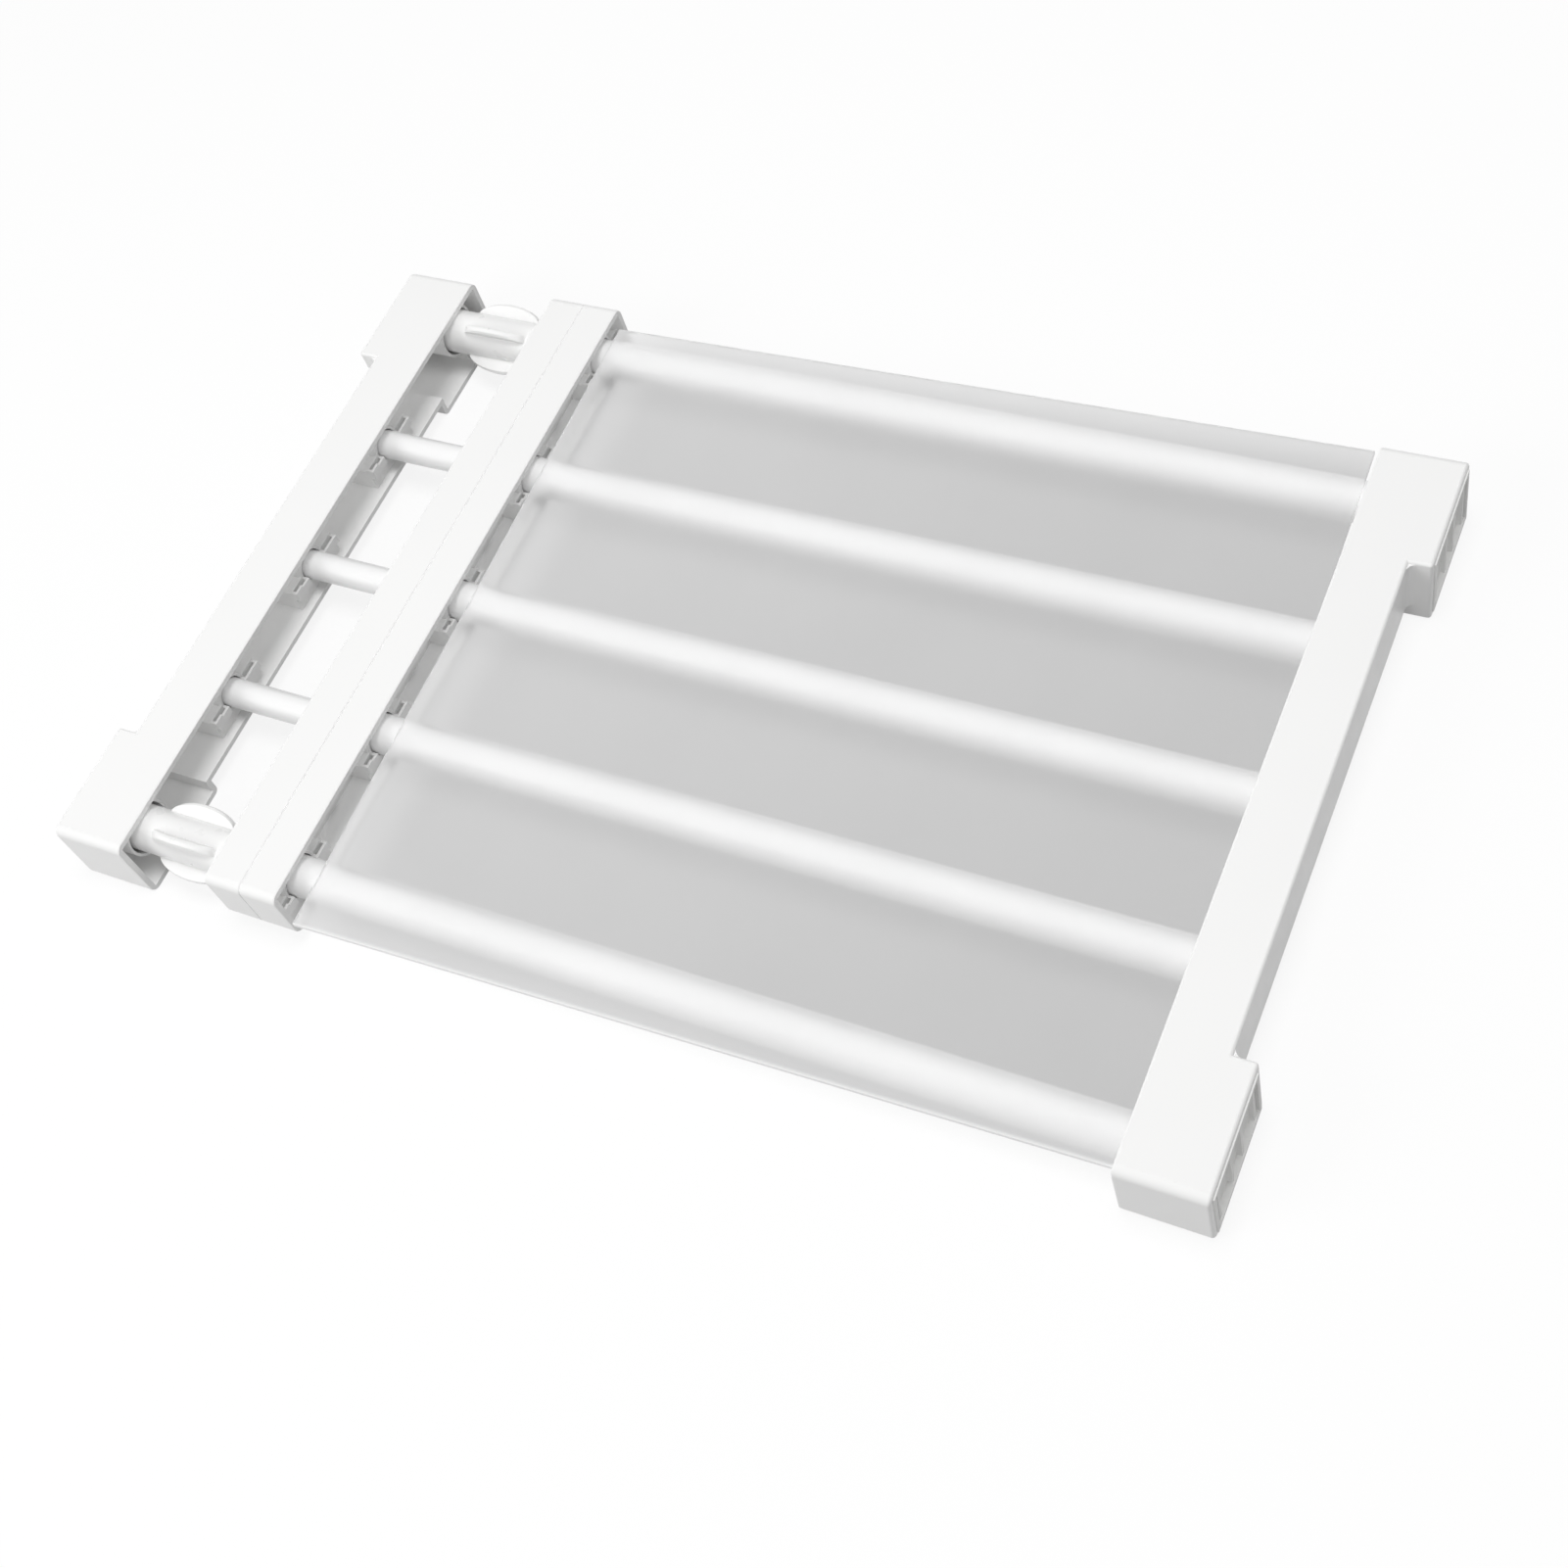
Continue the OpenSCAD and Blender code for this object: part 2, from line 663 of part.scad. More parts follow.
// Loose frosted mat that lies on the fixed tubes. Its rear corner stops short of the fixed end
// bracket, and its front corner is tucked in under that bracket's top.
module frosted_mat() {
    rear_corner = [fixed_edge_x - mat_rear_gap, 0, 0];
    front_y = wall + mat_side_gap - bracket_l / 2;
    centre = [rear_corner.x + mat_w / 2 * sin(mat_skew) - mat_l / 2 * cos(mat_skew),
              front_y + mat_w / 2 * cos(mat_skew) - mat_l / 2 * sin(mat_skew), mat_z];
    color(mat_frost) translate(centre) rotate([0, 0, mat_skew])
        translate([-mat_l / 2, -mat_w / 2, 0]) cube([mat_l, mat_w, mat_t]);
}

moving_end_bracket();
fixed_end_bracket();
guide_bracket();
tube_bracket();
for (i = [1:5])
    outer_tube(i);
for (i = plain_rods) {
    sliding_rod(i);
    glide_plug(i);
    guide_bush(i);
}
for (i = screw_rods)
    glide_sleeve(i);
screw_rod(1);  // screw_rod_front
screw_rod(5);  // screw_rod_rear
winged_knob(1);  // winged_knob_front
winged_knob(5);  // winged_knob_rear
tube_end_plug(1);  // tube_end_plug_front
tube_end_plug(5);  // tube_end_plug_rear
at_left() wall_pad(-1);  // wall_pad_left_front
at_left() wall_pad(1);  // wall_pad_left_rear
at_right() wall_pad(-1);  // wall_pad_right_front
at_right() wall_pad(1);  // wall_pad_right_rear
moving_end_screws();
fixed_end_screws();
middle_bracket_screws();
frosted_mat();
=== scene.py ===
"""Looks of a closet tension shelf: finishes, softened edges, a frosted mat, studio and camera."""
import logging
from dataclasses import dataclass, field
from enum import Enum
from math import cos, radians, sin
from typing import Callable, Sequence

import bpy
from mathutils import Euler, Matrix, Vector


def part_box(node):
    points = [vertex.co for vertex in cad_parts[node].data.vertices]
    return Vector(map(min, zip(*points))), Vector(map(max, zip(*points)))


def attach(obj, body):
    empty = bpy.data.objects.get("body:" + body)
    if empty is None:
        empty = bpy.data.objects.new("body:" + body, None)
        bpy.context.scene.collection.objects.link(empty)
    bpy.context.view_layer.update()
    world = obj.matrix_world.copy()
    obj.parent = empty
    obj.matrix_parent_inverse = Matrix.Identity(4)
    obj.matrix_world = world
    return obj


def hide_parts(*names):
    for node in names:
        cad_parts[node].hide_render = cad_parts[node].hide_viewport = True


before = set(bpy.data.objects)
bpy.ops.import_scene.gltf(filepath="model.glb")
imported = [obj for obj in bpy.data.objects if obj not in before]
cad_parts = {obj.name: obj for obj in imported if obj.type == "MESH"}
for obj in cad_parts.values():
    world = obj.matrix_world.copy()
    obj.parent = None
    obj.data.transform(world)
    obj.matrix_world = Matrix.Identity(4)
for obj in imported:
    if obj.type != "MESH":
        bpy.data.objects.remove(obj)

LOG = logging.getLogger("closet_shelf")
MM = 0.001
Nodes = bpy.types.ShaderNodeTree
Socket = bpy.types.NodeSocket
Sockets = bpy.types.bpy_prop_collection
Triple = tuple[float, float, float]
# Distance within which the loose corners of a copied node are joined
WELD = 0.004 * MM
# Angle in radians below which neighbouring faces of a copied node are flat
FLAT = 0.004
# Angle in radians above which an edge is rounded, or else stays sharp in the shading
SHARP = 0.6
# Distance within which a corner counts as lying in a plane
NEAR = 0.02 * MM
# Range in which most values of a noise texture lie
NOISE_RANGE = (0.3, 0.7)
# The loose mat's node, and its turn on the tubes in degrees
MAT = "frosted_mat"
MAT_TURN = 1.35


class Body(Enum):
    """The rigid bodies of the shelf."""

    FIXED = "fixed_frame"
    MOVING = "moving_end"
    KNOB_FRONT = "knob_front"
    KNOB_REAR = "knob_rear"


class Side(Enum):
    """The two ends of a bracket half along X."""

    LEFT = "left"
    RIGHT = "right"


# Modelling


def only(obj: bpy.types.Object) -> None:
    """Make one object the selected and active one.

    Args:
        obj: The object that the next operators act on.
    """
    if bpy.context.object is not None and bpy.context.object.mode != "OBJECT":
        bpy.ops.object.mode_set(mode="OBJECT")
    bpy.ops.object.select_all(action="DESELECT")
    obj.select_set(True)
    bpy.context.view_layer.objects.active = obj


def apply_modifiers(obj: bpy.types.Object) -> None:
    """Apply every modifier of an object, from the first to the last.

    Args:
        obj: The object whose modifiers become mesh.
    """
    only(obj)
    for modifier in list(obj.modifiers):
        bpy.ops.object.modifier_apply(modifier=modifier.name)


def copy_of(node: str, name: str) -> bpy.types.Object:
    """Copy the shape of a frame node into a new object whose loose triangles are joined.

    Args:
        node: Name of the frame node.
        name: Name of the new object.

    Returns:
        The copy, with a merged mesh of its own and no parent.
    """
    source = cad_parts[node]
    mesh = source.data.copy()
    mesh.name = name
    piece = bpy.data.objects.new(name, mesh)
    bpy.context.scene.collection.objects.link(piece)
    only(piece)
    bpy.ops.object.mode_set(mode="EDIT")
    bpy.ops.mesh.select_all(action="SELECT")
    bpy.ops.mesh.remove_doubles(threshold=WELD)
    bpy.ops.mesh.dissolve_limited(angle_limit=FLAT)
    bpy.ops.object.mode_set(mode="OBJECT")
    mesh.materials.clear()
    return piece


def pick_edges(piece: bpy.types.Object, wanted: Callable[[Vector, Vector], bool]) -> int:
    """Enter edit mode with only some edges of a piece selected.

    Args:
        piece: The piece.
        wanted: Tells from an edge's two ends whether it is selected.

    Returns:
        How many edges are selected.
    """
    only(piece)
    bpy.ops.object.mode_set(mode="EDIT")
    bpy.ops.mesh.select_mode(type="EDGE")
    bpy.ops.mesh.select_all(action="DESELECT")
    bpy.ops.object.mode_set(mode="OBJECT")
    points = piece.data.vertices
    for edge in piece.data.edges:
        edge.select = wanted(*(points[k].co for k in edge.vertices))
    count = sum(edge.select for edge in piece.data.edges)
    bpy.ops.object.mode_set(mode="EDIT")
    return count


def soften(piece: bpy.types.Object, width: float, segments: int = 2) -> None:
    """Round the sharp edges of a piece and shade it smooth between them.

    Args:
        piece: The piece to soften.
        width: Width of the rounding in metres.
        segments: Faces across the rounding.
    """
    bevel = piece.modifiers.new("soft edges", "BEVEL")
    bevel.width = width
    bevel.segments = segments
    bevel.limit_method = "ANGLE"
    bevel.angle_limit = SHARP
    bevel.harden_normals = False
    bevel.use_clamp_overlap = True
    apply_modifiers(piece)
    only(piece)
    bpy.ops.object.shade_smooth_by_angle(angle=SHARP)
    weighted = piece.modifiers.new("weighted normals", "WEIGHTED_NORMAL")
    weighted.keep_sharp = True
    apply_modifiers(piece)


# Shader nodes


def feed(tree: Nodes, socket: Socket, value: Socket | float) -> None:
    """Link a value into an input, or write a plain number there.

    Args:
        tree: Tree that both belong to.
        socket: The input.
        value: An output of the tree, or a number.
    """
    if isinstance(value, bpy.types.NodeSocket):
        tree.links.new(value, socket)
    else:
        socket.default_value = value


def computed(tree: Nodes, operation: str, *values: Socket | float) -> Socket:
    """Add a math node.

    Args:
        tree: Tree that takes the node.
        operation: Name of the operation.
        values: The values it works on, in order.

    Returns:
        The result.
    """
    node = tree.nodes.new("ShaderNodeMath")
    node.operation = operation
    for socket, value in zip(node.inputs, values):
        feed(tree, socket, value)
    return node.outputs["Value"]


def mapped(tree: Nodes, value: Socket, *ends: Socket | float) -> Socket:
    """Map one range of a value to another and hold it at the ends.

    Args:
        tree: Tree that takes the node.
        value: The value.
        ends: Both ends of the value's range, then the results for them.

    Returns:
        The result.
    """
    node = tree.nodes.new("ShaderNodeMapRange")
    for label, end in zip(("From Min", "From Max", "To Min", "To Max"), ends):
        feed(tree, node.inputs[label], end)
    tree.links.new(value, node.inputs["Value"])
    return node.outputs["Result"]


def mixed(tree: Nodes, share: Socket, first: Socket, second: Socket) -> Socket:
    """Mix two shaders.

    Args:
        tree: Tree that takes the node.
        share: Share of the second shader.
        first: The first shader.
        second: The second shader.

    Returns:
        The mixed shader.
    """
    node = tree.nodes.new("ShaderNodeMixShader")
    for socket, value in zip(node.inputs, (share, first, second)):
        tree.links.new(value, socket)
    return node.outputs["Shader"]


def noise(tree: Nodes, vector: Socket, scale: float, detail: float = 2.0) -> Socket:
    """Add a noise texture.

    Args:
        tree: Tree that takes the node.
        vector: Coordinates in metres.
        scale: Waves to a metre.
        detail: Octaves of finer noise.

    Returns:
        The texture's value.
    """
    node = tree.nodes.new("ShaderNodeTexNoise")
    node.inputs["Scale"].default_value = scale
    node.inputs["Detail"].default_value = detail
    tree.links.new(vector, node.inputs["Vector"])
    return node.outputs["Fac"]


def spread(tree: Nodes, value: Socket, low: float, high: float) -> Socket:
    """Spread a noise value, which lies near 0.5, over a range of results.

    Args:
        tree: Tree that takes the node.
        value: The noise value.
        low: Result for a low noise value.
        high: Result for a high noise value.

    Returns:
        The result.
    """
    return mapped(tree, value, *NOISE_RANGE, low, high)


def tinted(tree: Nodes, colour: Socket, value: Socket) -> Socket:
    """Multiply a colour by a value.

    Args:
        tree: Tree that takes the node.
        colour: The colour.
        value: The value, 1 for no change.

    Returns:
        The product as a colour.
    """
    node = tree.nodes.new("ShaderNodeVectorMath")
    node.operation = "SCALE"
    tree.links.new(colour, node.inputs["Vector"])
    tree.links.new(value, node.inputs["Scale"])
    return node.outputs["Vector"]


def let_through(tree: Nodes, share: Socket) -> None:
    """Make a share of a material's surface clear.

    Args:
        tree: The material's nodes.
        share: The share, from 0 to 1.
    """
    clear = tree.nodes.new("ShaderNodeBsdfTransparent").outputs["BSDF"]
    shader = mixed(tree, share, tree.nodes["Principled BSDF"].outputs["BSDF"], clear)
    tree.links.new(shader, tree.nodes["Material Output"].inputs["Surface"])


def seen_rays(tree: Nodes) -> Socket:
    """Tell the rays that show a surface, straight, mirrored or through the mat.

    Args:
        tree: Tree that takes the nodes.

    Returns:
        1 for such a ray and 0 for light that falls on the shelf.
    """
    rays = tree.nodes.new("ShaderNodeLightPath").outputs
    either = computed(tree, "MAXIMUM", rays["Is Camera Ray"], rays["Is Glossy Ray"])
    return computed(tree, "MAXIMUM", either, rays["Is Transmission Ray"])


# Effects and finishes


class Effect:
    """A shader node group that is built once and placed in every finish that uses it."""

    name: str = ""
    inputs: Sequence[tuple[str, str, float]] = (("Roughness", "NodeSocketFloat", 0.4),)
    outputs: Sequence[tuple[str, str]] = (
        ("Color", "NodeSocketColor"), ("Roughness", "NodeSocketFloat"), ("Height", "NodeSocketFloat"))

    def tree(self) -> Nodes:
        """Give the node group, built on its first use.

        Returns:
            The node group.
        """
        found = bpy.data.node_groups.get(self.name)
        if found is not None:
            return found
        group = bpy.data.node_groups.new(self.name, "ShaderNodeTree")
        for label, kind in self.outputs:
            group.interface.new_socket(label, in_out="OUTPUT", socket_type=kind)
        group.interface.new_socket("Vector", in_out="INPUT", socket_type="NodeSocketVector")
        group.interface.new_socket("Color", in_out="INPUT", socket_type="NodeSocketColor")
        for label, kind, value in self.inputs:
            socket = group.interface.new_socket(label, in_out="INPUT", socket_type=kind)
            socket.default_value = value
        given = group.nodes.new("NodeGroupInput").outputs
        out = group.nodes.new("NodeGroupOutput").inputs
        results = self.skin(group, given)
        for (label, _), result in zip(self.outputs, results):
            group.links.new(result, out[label])
        return group

    def skin(self, group: Nodes, given: Sockets) -> tuple[Socket, Socket, Socket]:
        """Add the group's own nodes.

        Args:
            group: The node group.
            given: Outputs of its input node.

        Returns:
            The colour, the roughness and the height.
        """
        raise NotImplementedError


class MouldedSkin(Effect):
    """Skin of moulded plastic: slow sink marks, fine grain and uneven gloss."""

    name = "moulded_skin"
    inputs = (("Mottle", "NodeSocketFloat", 0.012), *Effect.inputs)
    sink_scale = 22.0
    grain_scale = 2600.0
    grain_detail = 3.0
    grain_share = 0.25
    gloss_scale = 160.0
    gloss_change = (-0.04, 0.05)

    def skin(self, group: Nodes, given: Sockets) -> tuple[Socket, Socket, Socket]:
        """Add the group's own nodes.

        Args:
            group: The node group.
            given: Outputs of its input node.

        Returns:
            The colour, the roughness and the height.
        """
        sinks = noise(group, given["Vector"], self.sink_scale)
        grain = noise(group, given["Vector"], self.grain_scale, self.grain_detail)
        gloss = noise(group, given["Vector"], self.gloss_scale)
        # The colour falls by the mottle in the sink marks
        fall = computed(group, "MULTIPLY", spread(group, sinks, -1.0, 0.0), given["Mottle"])
        colour = tinted(group, given["Color"], computed(group, "ADD", fall, 1.0))
        rough = computed(group, "ADD", given["Roughness"], spread(group, gloss, *self.gloss_change))
        height = computed(group, "MULTIPLY_ADD", grain, self.grain_share, sinks)
        return colour, rough, height


class OrangePeel(Effect):
    """Skin of a sprayed and baked coating: shallow dimples and even gloss."""

    name = "orange_peel"
    dimple_scale = 700.0
    dimple_detail = 1.0
    cloud_scale = 45.0
    cloud_shade = (0.985, 1.0)
    gloss_change = (-0.03, 0.04)

    def skin(self, group: Nodes, given: Sockets) -> tuple[Socket, Socket, Socket]:
        """Add the group's own nodes.

        Args:
            group: The node group.
            given: Outputs of its input node.

        Returns:
            The colour, the roughness and the height.
        """
        dimples = noise(group, given["Vector"], self.dimple_scale, self.dimple_detail)
        cloud = noise(group, given["Vector"], self.cloud_scale)
        colour = tinted(group, given["Color"], spread(group, cloud, *self.cloud_shade))
        rough = computed(group, "ADD", given["Roughness"], spread(group, cloud, *self.gloss_change))
        return colour, rough, dimples


class FrostGrain(Effect):
    """Frost of an embossed sheet: a fine even speckle under slow clouds."""

    name = "frost_grain"
    speckle_scale = 1500.0
    cloud_scale = 30.0
    cloud_shade = (0.98, 1.0)
    gloss_change = (-0.05, 0.06)

    def skin(self, group: Nodes, given: Sockets) -> tuple[Socket, Socket, Socket]:
        """Add the group's own nodes.

        Args:
            group: The node group.
            given: Outputs of its input node.

        Returns:
            The colour, the roughness and the height.
        """
        speckle = noise(group, given["Vector"], self.speckle_scale)
        cloud = noise(group, given["Vector"], self.cloud_scale)
        colour = tinted(group, given["Color"], spread(group, cloud, *self.cloud_shade))
        rough = computed(group, "ADD", given["Roughness"], spread(group, speckle, *self.gloss_change))
        return colour, rough, speckle


@dataclass(frozen=True)
class Finish:
    """A procedural finish: one effect that feeds a principled surface."""

    name: str
    colour: Triple
    effect: type[Effect]
    roughness: float
    bump: float
    metallic: float = 0.0
    coat: float = 0.0
    specular: float = 0.5
    transmission: float = 0.0
    ior: float = 1.5
    coat_roughness: float = 0.15
    relief: float = 0.6

    def material(self) -> bpy.types.Material:
        """Give the finish's material, built on its first use.

        Returns:
            The material.
        """
        found = bpy.data.materials.get(self.name)
        if found is not None:
            return found
        made = bpy.data.materials.new(self.name)
        made.use_nodes = True
        tree = made.node_tree
        skin = tree.nodes.new("ShaderNodeGroup")
        skin.node_tree = self.effect().tree()
        skin.inputs["Color"].default_value = (*self.colour, 1.0)
        skin.inputs["Roughness"].default_value = self.roughness
        bump = tree.nodes.new("ShaderNodeBump")
        bump.inputs["Strength"].default_value = self.relief
        bump.inputs["Distance"].default_value = self.bump
        place = tree.nodes.new("ShaderNodeTexCoord").outputs["Object"]
        tree.links.new(place, skin.inputs["Vector"])
        tree.links.new(skin.outputs["Height"], bump.inputs["Height"])
        settings: dict[str, Socket | float] = {
            "Base Color": skin.outputs["Color"], "Roughness": skin.outputs["Roughness"],
            "Normal": bump.outputs["Normal"], "Metallic": self.metallic, "IOR": self.ior,
            "Transmission Weight": self.transmission, "Coat Weight": self.coat,
            "Coat Roughness": self.coat_roughness, "Specular IOR Level": self.specular}
        surface = tree.nodes["Principled BSDF"]
        for label, value in settings.items():
            feed(tree, surface.inputs[label], value)
        self.extend(tree, place)
        return made

    def extend(self, tree: Nodes, place: Socket) -> None:
        """Add what a kind of finish has beyond its skin, here nothing."""

    def dress(self, obj: bpy.types.Object) -> None:
        """Give an object this finish all over.

        Args:
            obj: A frame node or a piece.
        """
        if not obj.material_slots:
            obj.data.materials.append(self.material())
        for slot in obj.material_slots:
            slot.link = "OBJECT"
            slot.material = self.material()


class Edge(Enum):
    """Edges of the mat, each by its direction into the mat, in degrees from the mat's length."""

    LEFT = 0.0
    FRONT = 90.0
    REAR = -90.0

    def inward(self) -> Vector:
        """Give the direction from the edge into the mat as it lies on the tubes."""
        angle = radians(self.value + MAT_TURN)
        return Vector((cos(angle), sin(angle), 0.0))


@dataclass(frozen=True)
class PaintedEdgeGlow:
    """A zone along an edge of the mat that is painted whiter, a painted glow in place of light gathered at
    the edge.

    The mat passes the share `least` of the view at the edge and all of it from `reach` metres farther in.
    """

    edge: Edge
    reach: float
    least: float

    def passed(self, tree: Nodes, place: Socket) -> Socket:
        """Add the nodes of the zone.

        Args:
            tree: The material's nodes.
            place: The object coordinates.

        Returns:
            The share of the view that passes.
        """
        inward = self.edge.inward()
        start = min(corner.co.dot(inward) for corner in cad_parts[MAT].data.vertices)
        depth = tree.nodes.new("ShaderNodeVectorMath")
        depth.operation = "DOT_PRODUCT"
        depth.inputs[1].default_value = inward
        tree.links.new(place, depth.inputs[0])
        return mapped(tree, depth.outputs["Value"], start, start + self.reach, self.least, 1.0)


@dataclass(frozen=True)
class SheetFinish(Finish):
    """Finish of a clear sheet with a frosted surface, which lets the lamps' light through."""

    # Zones of painted glow along the mat's edges, where the sheet looks whiter
    edges: tuple[PaintedEdgeGlow, ...] = ()

    def extend(self, tree: Nodes, place: Socket) -> None:
        """Let the lamps' and scattered light through, and less of the view near the edges, which paints a
        whiter glow and highlight there.

        Args:
            tree: The material's nodes.
            place: The object coordinates.
        """
        rays = tree.nodes.new("ShaderNodeLightPath").outputs
        let_through(tree, computed(tree, "MAXIMUM", rays["Is Shadow Ray"], rays["Is Diffuse Ray"]))
        # Painted glow: near the edges less of the view passes, so the sheet's own white shows there
        passed: Socket | float = self.transmission
        for edge in self.edges:
            passed = computed(tree, "MINIMUM", edge.passed(tree, place), passed)
        feed(tree, tree.nodes["Principled BSDF"].inputs["Transmission Weight"], passed)


@dataclass(frozen=True)
class WallFinish(Finish):
    """Finish of thin white plastic, whose walls let a share of the lamps' light through."""

    through: float = 0.5

    def extend(self, tree: Nodes, place: Socket) -> None:
        """Let a share of the lamps' light through.

        Args:
            tree: The material's nodes.
            place: The object coordinates, not needed here.
        """
        rays = tree.nodes.new("ShaderNodeLightPath").outputs
        let_through(tree, computed(tree, "MULTIPLY", rays["Is Shadow Ray"], self.through))


BRACKET_WHITE = WallFinish(
    "satin_white_plastic", (0.95, 0.95, 0.945), MouldedSkin, 0.34, 0.02 * MM, specular=0.3)
KNOB_WHITE = Finish("knob_white_plastic", (0.95, 0.95, 0.945), MouldedSkin, 0.3, 0.015 * MM, coat=0.2)
TUBE_WHITE = Finish(
    "baked_white_coating", (0.95, 0.95, 0.95), OrangePeel, 0.36, 0.01 * MM, coat=0.6, specular=0.6)
THREAD_WHITE = Finish("thread_white_plastic", (0.9, 0.9, 0.89), MouldedSkin, 0.4, 0.02 * MM)
GLIDE_WHITE = Finish("glide_white_plastic", (0.93, 0.93, 0.92), MouldedSkin, 0.45, 0.01 * MM)
PAD_WHITE = WallFinish("soft_pad_rubber", (0.93, 0.93, 0.92), MouldedSkin, 0.6, 0.04 * MM)
ZINC = Finish("zinc_plate", (0.7, 0.71, 0.73), OrangePeel, 0.3, 0.01 * MM, metallic=1.0)
# The mat's edge zones paint a whiter glow at its left end and along front and rear, and a thin painted
# highlight on the front edge
FROST = SheetFinish(
    "clear_frosted_plastic", (0.97, 0.97, 0.97), FrostGrain, 0.34, 0.01 * MM, coat=0.5,
    transmission=1.0, ior=1.16, edges=(
        PaintedEdgeGlow(Edge.LEFT, 8.0 * MM, 0.7), PaintedEdgeGlow(Edge.FRONT, 1.3 * MM, 0.2),
        PaintedEdgeGlow(Edge.FRONT, 14.0 * MM, 0.85), PaintedEdgeGlow(Edge.REAR, 14.0 * MM, 0.68)))


# Pieces


@dataclass
class SoftenedNode:
    """A frame node that is rebuilt with rounded edges."""

    node: str
    body: Body
    slot: str
    finish: Finish
    width: float = 0.25 * MM

    def shape(self, piece: bpy.types.Object) -> None:
        """Shape the copy further before its edges are rounded, here not at all."""

    def build(self) -> bpy.types.Object:
        """Build the piece and put it in the node's place.

        Returns:
            The piece, riding on its body.
        """
        piece = copy_of(self.node, f"soft_{self.node}")
        self.shape(piece)
        soften(piece, self.width)
        self.finish.dress(piece)
        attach(piece, self.body.value)
        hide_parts(self.node)
        return piece


@dataclass
class SeamedHalf(SoftenedNode):
    """Half of the middle bracket, whose outer edge at the seam is broken to a fine groove."""

    seam: Side = Side.RIGHT
    groove: float = 0.3 * MM
    skin: float = 3.05 * MM

    def shape(self, piece: bpy.types.Object) -> None:
        """Bevel the outer edges that lie in the seam.

        Args:
            piece: The copy of the node.
        """
        low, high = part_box(self.node)
        seam_x = high[0] if self.seam is Side.RIGHT else low[0]

        def outer(point: Vector) -> bool:
            """Tell whether a point lies in the seam and on the bracket's outside.

            Args:
                point: The point.

            Returns:
                Whether it does.
            """
            on_top = point.z > high[2] - NEAR or point.z < low[2] + NEAR
            at_end = point.y > high[1] - self.skin or point.y < low[1] + self.skin
            return abs(point.x - seam_x) < NEAR and (on_top or at_end)

        found = pick_edges(piece, lambda a, b: outer(a) and outer(b))
        bpy.ops.mesh.bevel(offset=self.groove, segments=1, affect="EDGES")
        bpy.ops.object.mode_set(mode="OBJECT")
        LOG.info("%s: %d seam edges bevelled", piece.name, found)


@dataclass
class FrostedMat:
    """Thin frosted sheet with rounded edges that lies loose on the tubes."""

    node: str = MAT
    edge: float = 0.35 * MM
    segments: int = 3

    def build(self) -> bpy.types.Object:
        """Build the mat and put it in the node's place.

        Returns:
            The mat, riding on the fixed frame.
        """
        piece = copy_of(self.node, "frosted_mat_sheet")
        soften(piece, self.edge, self.segments)
        FROST.dress(piece)
        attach(piece, Body.FIXED.value)
        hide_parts(self.node)
        return piece


@dataclass
class PlainNodes:
    """Frame nodes whose shape is right and that only need their finish."""

    finishes: dict[str, Finish] = field(default_factory=lambda: {
        "outer_tube": TUBE_WHITE, "sliding_rod": TUBE_WHITE, "screw_rod": THREAD_WHITE,
        "glide_plug": GLIDE_WHITE, "guide_bush": GLIDE_WHITE, "tube_end_plug": GLIDE_WHITE,
        "wall_pad": PAD_WHITE, "moving_end_screws": ZINC, "fixed_end_screws": ZINC,
        "middle_bracket_screws": ZINC, "moving_end_bracket": BRACKET_WHITE,
        "fixed_end_bracket": BRACKET_WHITE, "guide_bracket": BRACKET_WHITE,
        "tube_bracket": BRACKET_WHITE, "winged_knob": KNOB_WHITE, MAT: FROST})

    def dress(self) -> int:
        """Dress every frame node by the start of its name.

        Returns:
            How many nodes were dressed.
        """
        count = 0
        for name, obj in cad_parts.items():
            for start, finish in self.finishes.items():
                if name.startswith(start):
                    finish.dress(obj)
                    count += 1
                    break
        return count


# Studio and camera


@dataclass(frozen=True)
class Lamp:
    """A square soft lamp that faces the middle of the shelf."""

    name: str
    place: Triple
    size: float
    power: float

    def build(self) -> bpy.types.Object:
        """Add the lamp, which lights the shelf but doesn't show in mirror images or through the mat.

        Returns:
            The lamp.
        """
        bpy.ops.object.light_add(type="AREA", location=self.place)
        obj = bpy.context.object
        obj.name = self.name
        obj.data.size = self.size
        obj.data.energy = self.power
        obj.rotation_mode = "QUATERNION"
        obj.rotation_quaternion = (-Vector(self.place)).to_track_quat("-Z", "Y")
        obj.visible_camera = False
        obj.visible_glossy = False
        obj.visible_transmission = False
        return obj


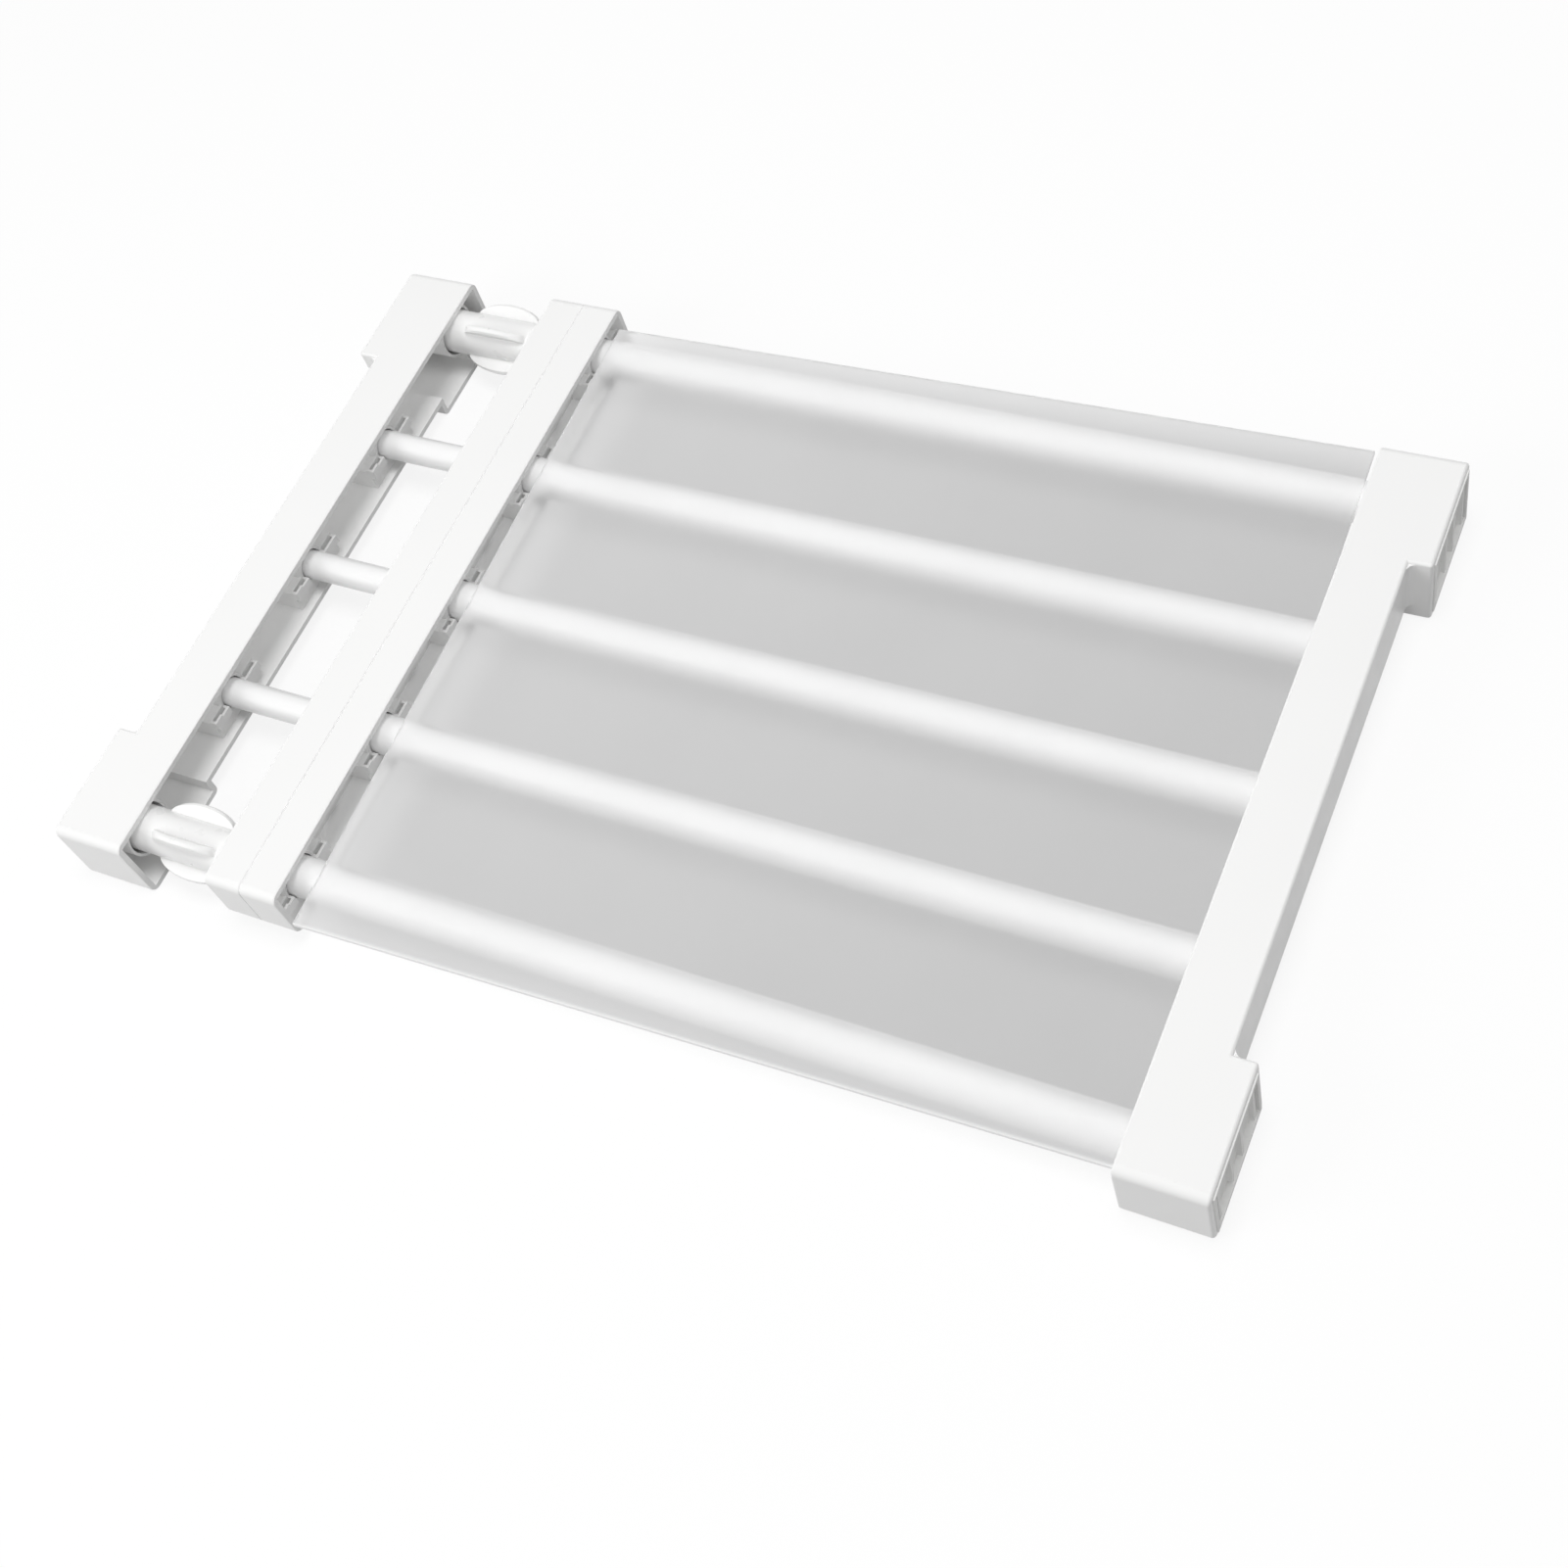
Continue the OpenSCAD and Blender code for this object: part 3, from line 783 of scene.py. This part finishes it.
@dataclass
class Studio:
    """Pale floor, white surroundings and soft lamps.

    The floor is white where it is seen or mirrored, and plain paper of `floor_colour` for the light that
    it throws on the shelf. Through the mat it shows painted shade, the grey levels
    `painted_shade_behind_mat` at `mat_ends` along X, darker to the right, and painted light that lifts
    them by `edge_light` up to the mat's left end, where the lift fades over `edge_band`, measured from
    that end.
    `glow` is the share of the floor that shows without the shelf's shadow, and `sky` is the strength of
    the light from all around.
    """

    floor_size: float = 6.0
    floor_colour: float = 0.49
    floor_roughness: float = 0.9
    # Painted shade of the floor seen through the mat, at the two ends along X
    painted_shade_behind_mat: tuple[float, float] = (0.67, 0.58)
    mat_ends: tuple[float, float] = (-130.0 * MM, 150.0 * MM)
    # Painted light that lifts the floor near the mat's left end
    edge_light: float = 0.12
    edge_band: tuple[float, float] = (-8.5 * MM, 9.5 * MM)
    glow: float = 0.85
    sky: float = 0.34
    lamps: tuple[Lamp, ...] = (
        Lamp("overhead_lamp", (0.12, 0.0, 1.5), 0.6, 11.4),
        Lamp("side_lamp", (-0.85, -1.05, 0.75), 0.8, 8.0))

    def paper(self) -> bpy.types.Material:
        """Build the floor's material.

        Returns:
            The material.
        """
        made = bpy.data.materials.new("studio_paper")
        made.use_nodes = True
        tree = made.node_tree
        surface = tree.nodes["Principled BSDF"]
        surface.inputs["Roughness"].default_value = self.floor_roughness
        surface.inputs["Specular IOR Level"].default_value = 0.0
        place = tree.nodes.new("ShaderNodeTexCoord").outputs["Object"]
        axes = tree.nodes.new("ShaderNodeSeparateXYZ")
        tree.links.new(place, axes.inputs["Vector"])
        # Painted shade behind the mat, darker from left to right
        fall = mapped(tree, axes.outputs["X"], *self.mat_ends, *self.painted_shade_behind_mat)
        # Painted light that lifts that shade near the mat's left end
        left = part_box(MAT)[0][0]
        ends = [left + offset for offset in self.edge_band]
        painted_light_band = mapped(tree, axes.outputs["X"], *ends, self.edge_light, 0.0)
        behind = computed(tree, "ADD", fall, painted_light_band)
        rays = tree.nodes.new("ShaderNodeLightPath").outputs
        # The painted levels show only through the mat, elsewhere the floor is white or plain paper
        level = mapped(tree, rays["Is Transmission Ray"], 0.0, 1.0, 1.0, behind)
        seen = seen_rays(tree)
        colour = mapped(tree, seen, 0.0, 1.0, self.floor_colour, level)
        tree.links.new(colour, surface.inputs["Base Color"])
        # Emission: white where seen, and the painted shade through the mat
        white = tree.nodes.new("ShaderNodeEmission")
        tree.links.new(level, white.inputs["Color"])
        share = computed(tree, "MULTIPLY", seen, self.glow)
        shader = mixed(tree, share, surface.outputs["BSDF"], white.outputs["Emission"])
        tree.links.new(shader, tree.nodes["Material Output"].inputs["Surface"])
        return made

    def floor(self) -> None:
        """Build the floor."""
        bpy.ops.mesh.primitive_plane_add(size=self.floor_size, location=(0.0, 0.0, 0.0))
        ground = bpy.context.object
        ground.name = "studio_floor"
        ground.data.materials.append(self.paper())

    def surroundings(self) -> None:
        """Light the scene evenly, with plain white behind the object."""
        world = bpy.data.worlds.new("studio_air")
        world.use_nodes = True
        bpy.context.scene.world = world
        tree = world.node_tree
        dim = tree.nodes["Background"]
        bright = tree.nodes.new("ShaderNodeBackground")
        for node, strength in ((dim, self.sky), (bright, 1.0)):
            node.inputs["Color"].default_value = (1.0, 1.0, 1.0, 1.0)
            node.inputs["Strength"].default_value = strength
        shader = mixed(tree, seen_rays(tree), dim.outputs["Background"], bright.outputs["Background"])
        tree.links.new(shader, tree.nodes["World Output"].inputs["Surface"])

    def build(self) -> None:
        """Build floor, surroundings and lamps."""
        self.floor()
        self.surroundings()
        for lamp in self.lamps:
            lamp.build()


@dataclass
class PhotoCamera:
    """Camera at the photograph's viewing angle, turned by degrees about X, Y and Z in that order."""

    place: Triple = (0.27145, -0.2956, 0.5421)
    angles: Triple = (32.10825, 12.4884, 23.90105)
    lens: float = 49.973
    sensor: float = 36.0
    clip: tuple[float, float] = (0.01, 20.0)

    def build(self) -> bpy.types.Object:
        """Build the camera and make it the scene's.

        Returns:
            The camera.
        """
        eye = bpy.data.cameras.new("photo_camera")
        eye.lens = self.lens
        eye.sensor_width = self.sensor
        eye.clip_start, eye.clip_end = self.clip
        obj = bpy.data.objects.new("photo_camera", eye)
        bpy.context.scene.collection.objects.link(obj)
        turn = Euler([radians(angle) for angle in self.angles])
        obj.matrix_world = Matrix.LocRotScale(Vector(self.place), turn, None)
        bpy.context.scene.camera = obj
        return obj


def main() -> None:
    """Build the shelf's looks piece by piece and report each one."""
    logging.basicConfig(level=logging.INFO, format="%(message)s")
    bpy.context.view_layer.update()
    bpy.context.scene.view_settings.view_transform = "Standard"
    PhotoCamera().build()
    Studio().build()
    LOG.info("frame nodes dressed: %d", PlainNodes().dress())
    makers: list[SoftenedNode | FrostedMat] = [
        SoftenedNode("moving_end_bracket", Body.MOVING, "white_plastic", BRACKET_WHITE),
        SoftenedNode("fixed_end_bracket", Body.FIXED, "white_plastic", BRACKET_WHITE),
        SeamedHalf("guide_bracket", Body.FIXED, "white_plastic", BRACKET_WHITE, seam=Side.RIGHT),
        SeamedHalf("tube_bracket", Body.FIXED, "white_plastic", BRACKET_WHITE, seam=Side.LEFT),
        SoftenedNode("winged_knob_front", Body.KNOB_FRONT, "white_plastic", KNOB_WHITE, 0.4 * MM),
        SoftenedNode("winged_knob_rear", Body.KNOB_REAR, "white_plastic", KNOB_WHITE, 0.4 * MM),
        FrostedMat(),
    ]
    for maker in makers:
        piece = maker.build()
        LOG.info("%s: %d faces", piece.name, len(piece.data.polygons))


if __name__ == "__main__":
    main()
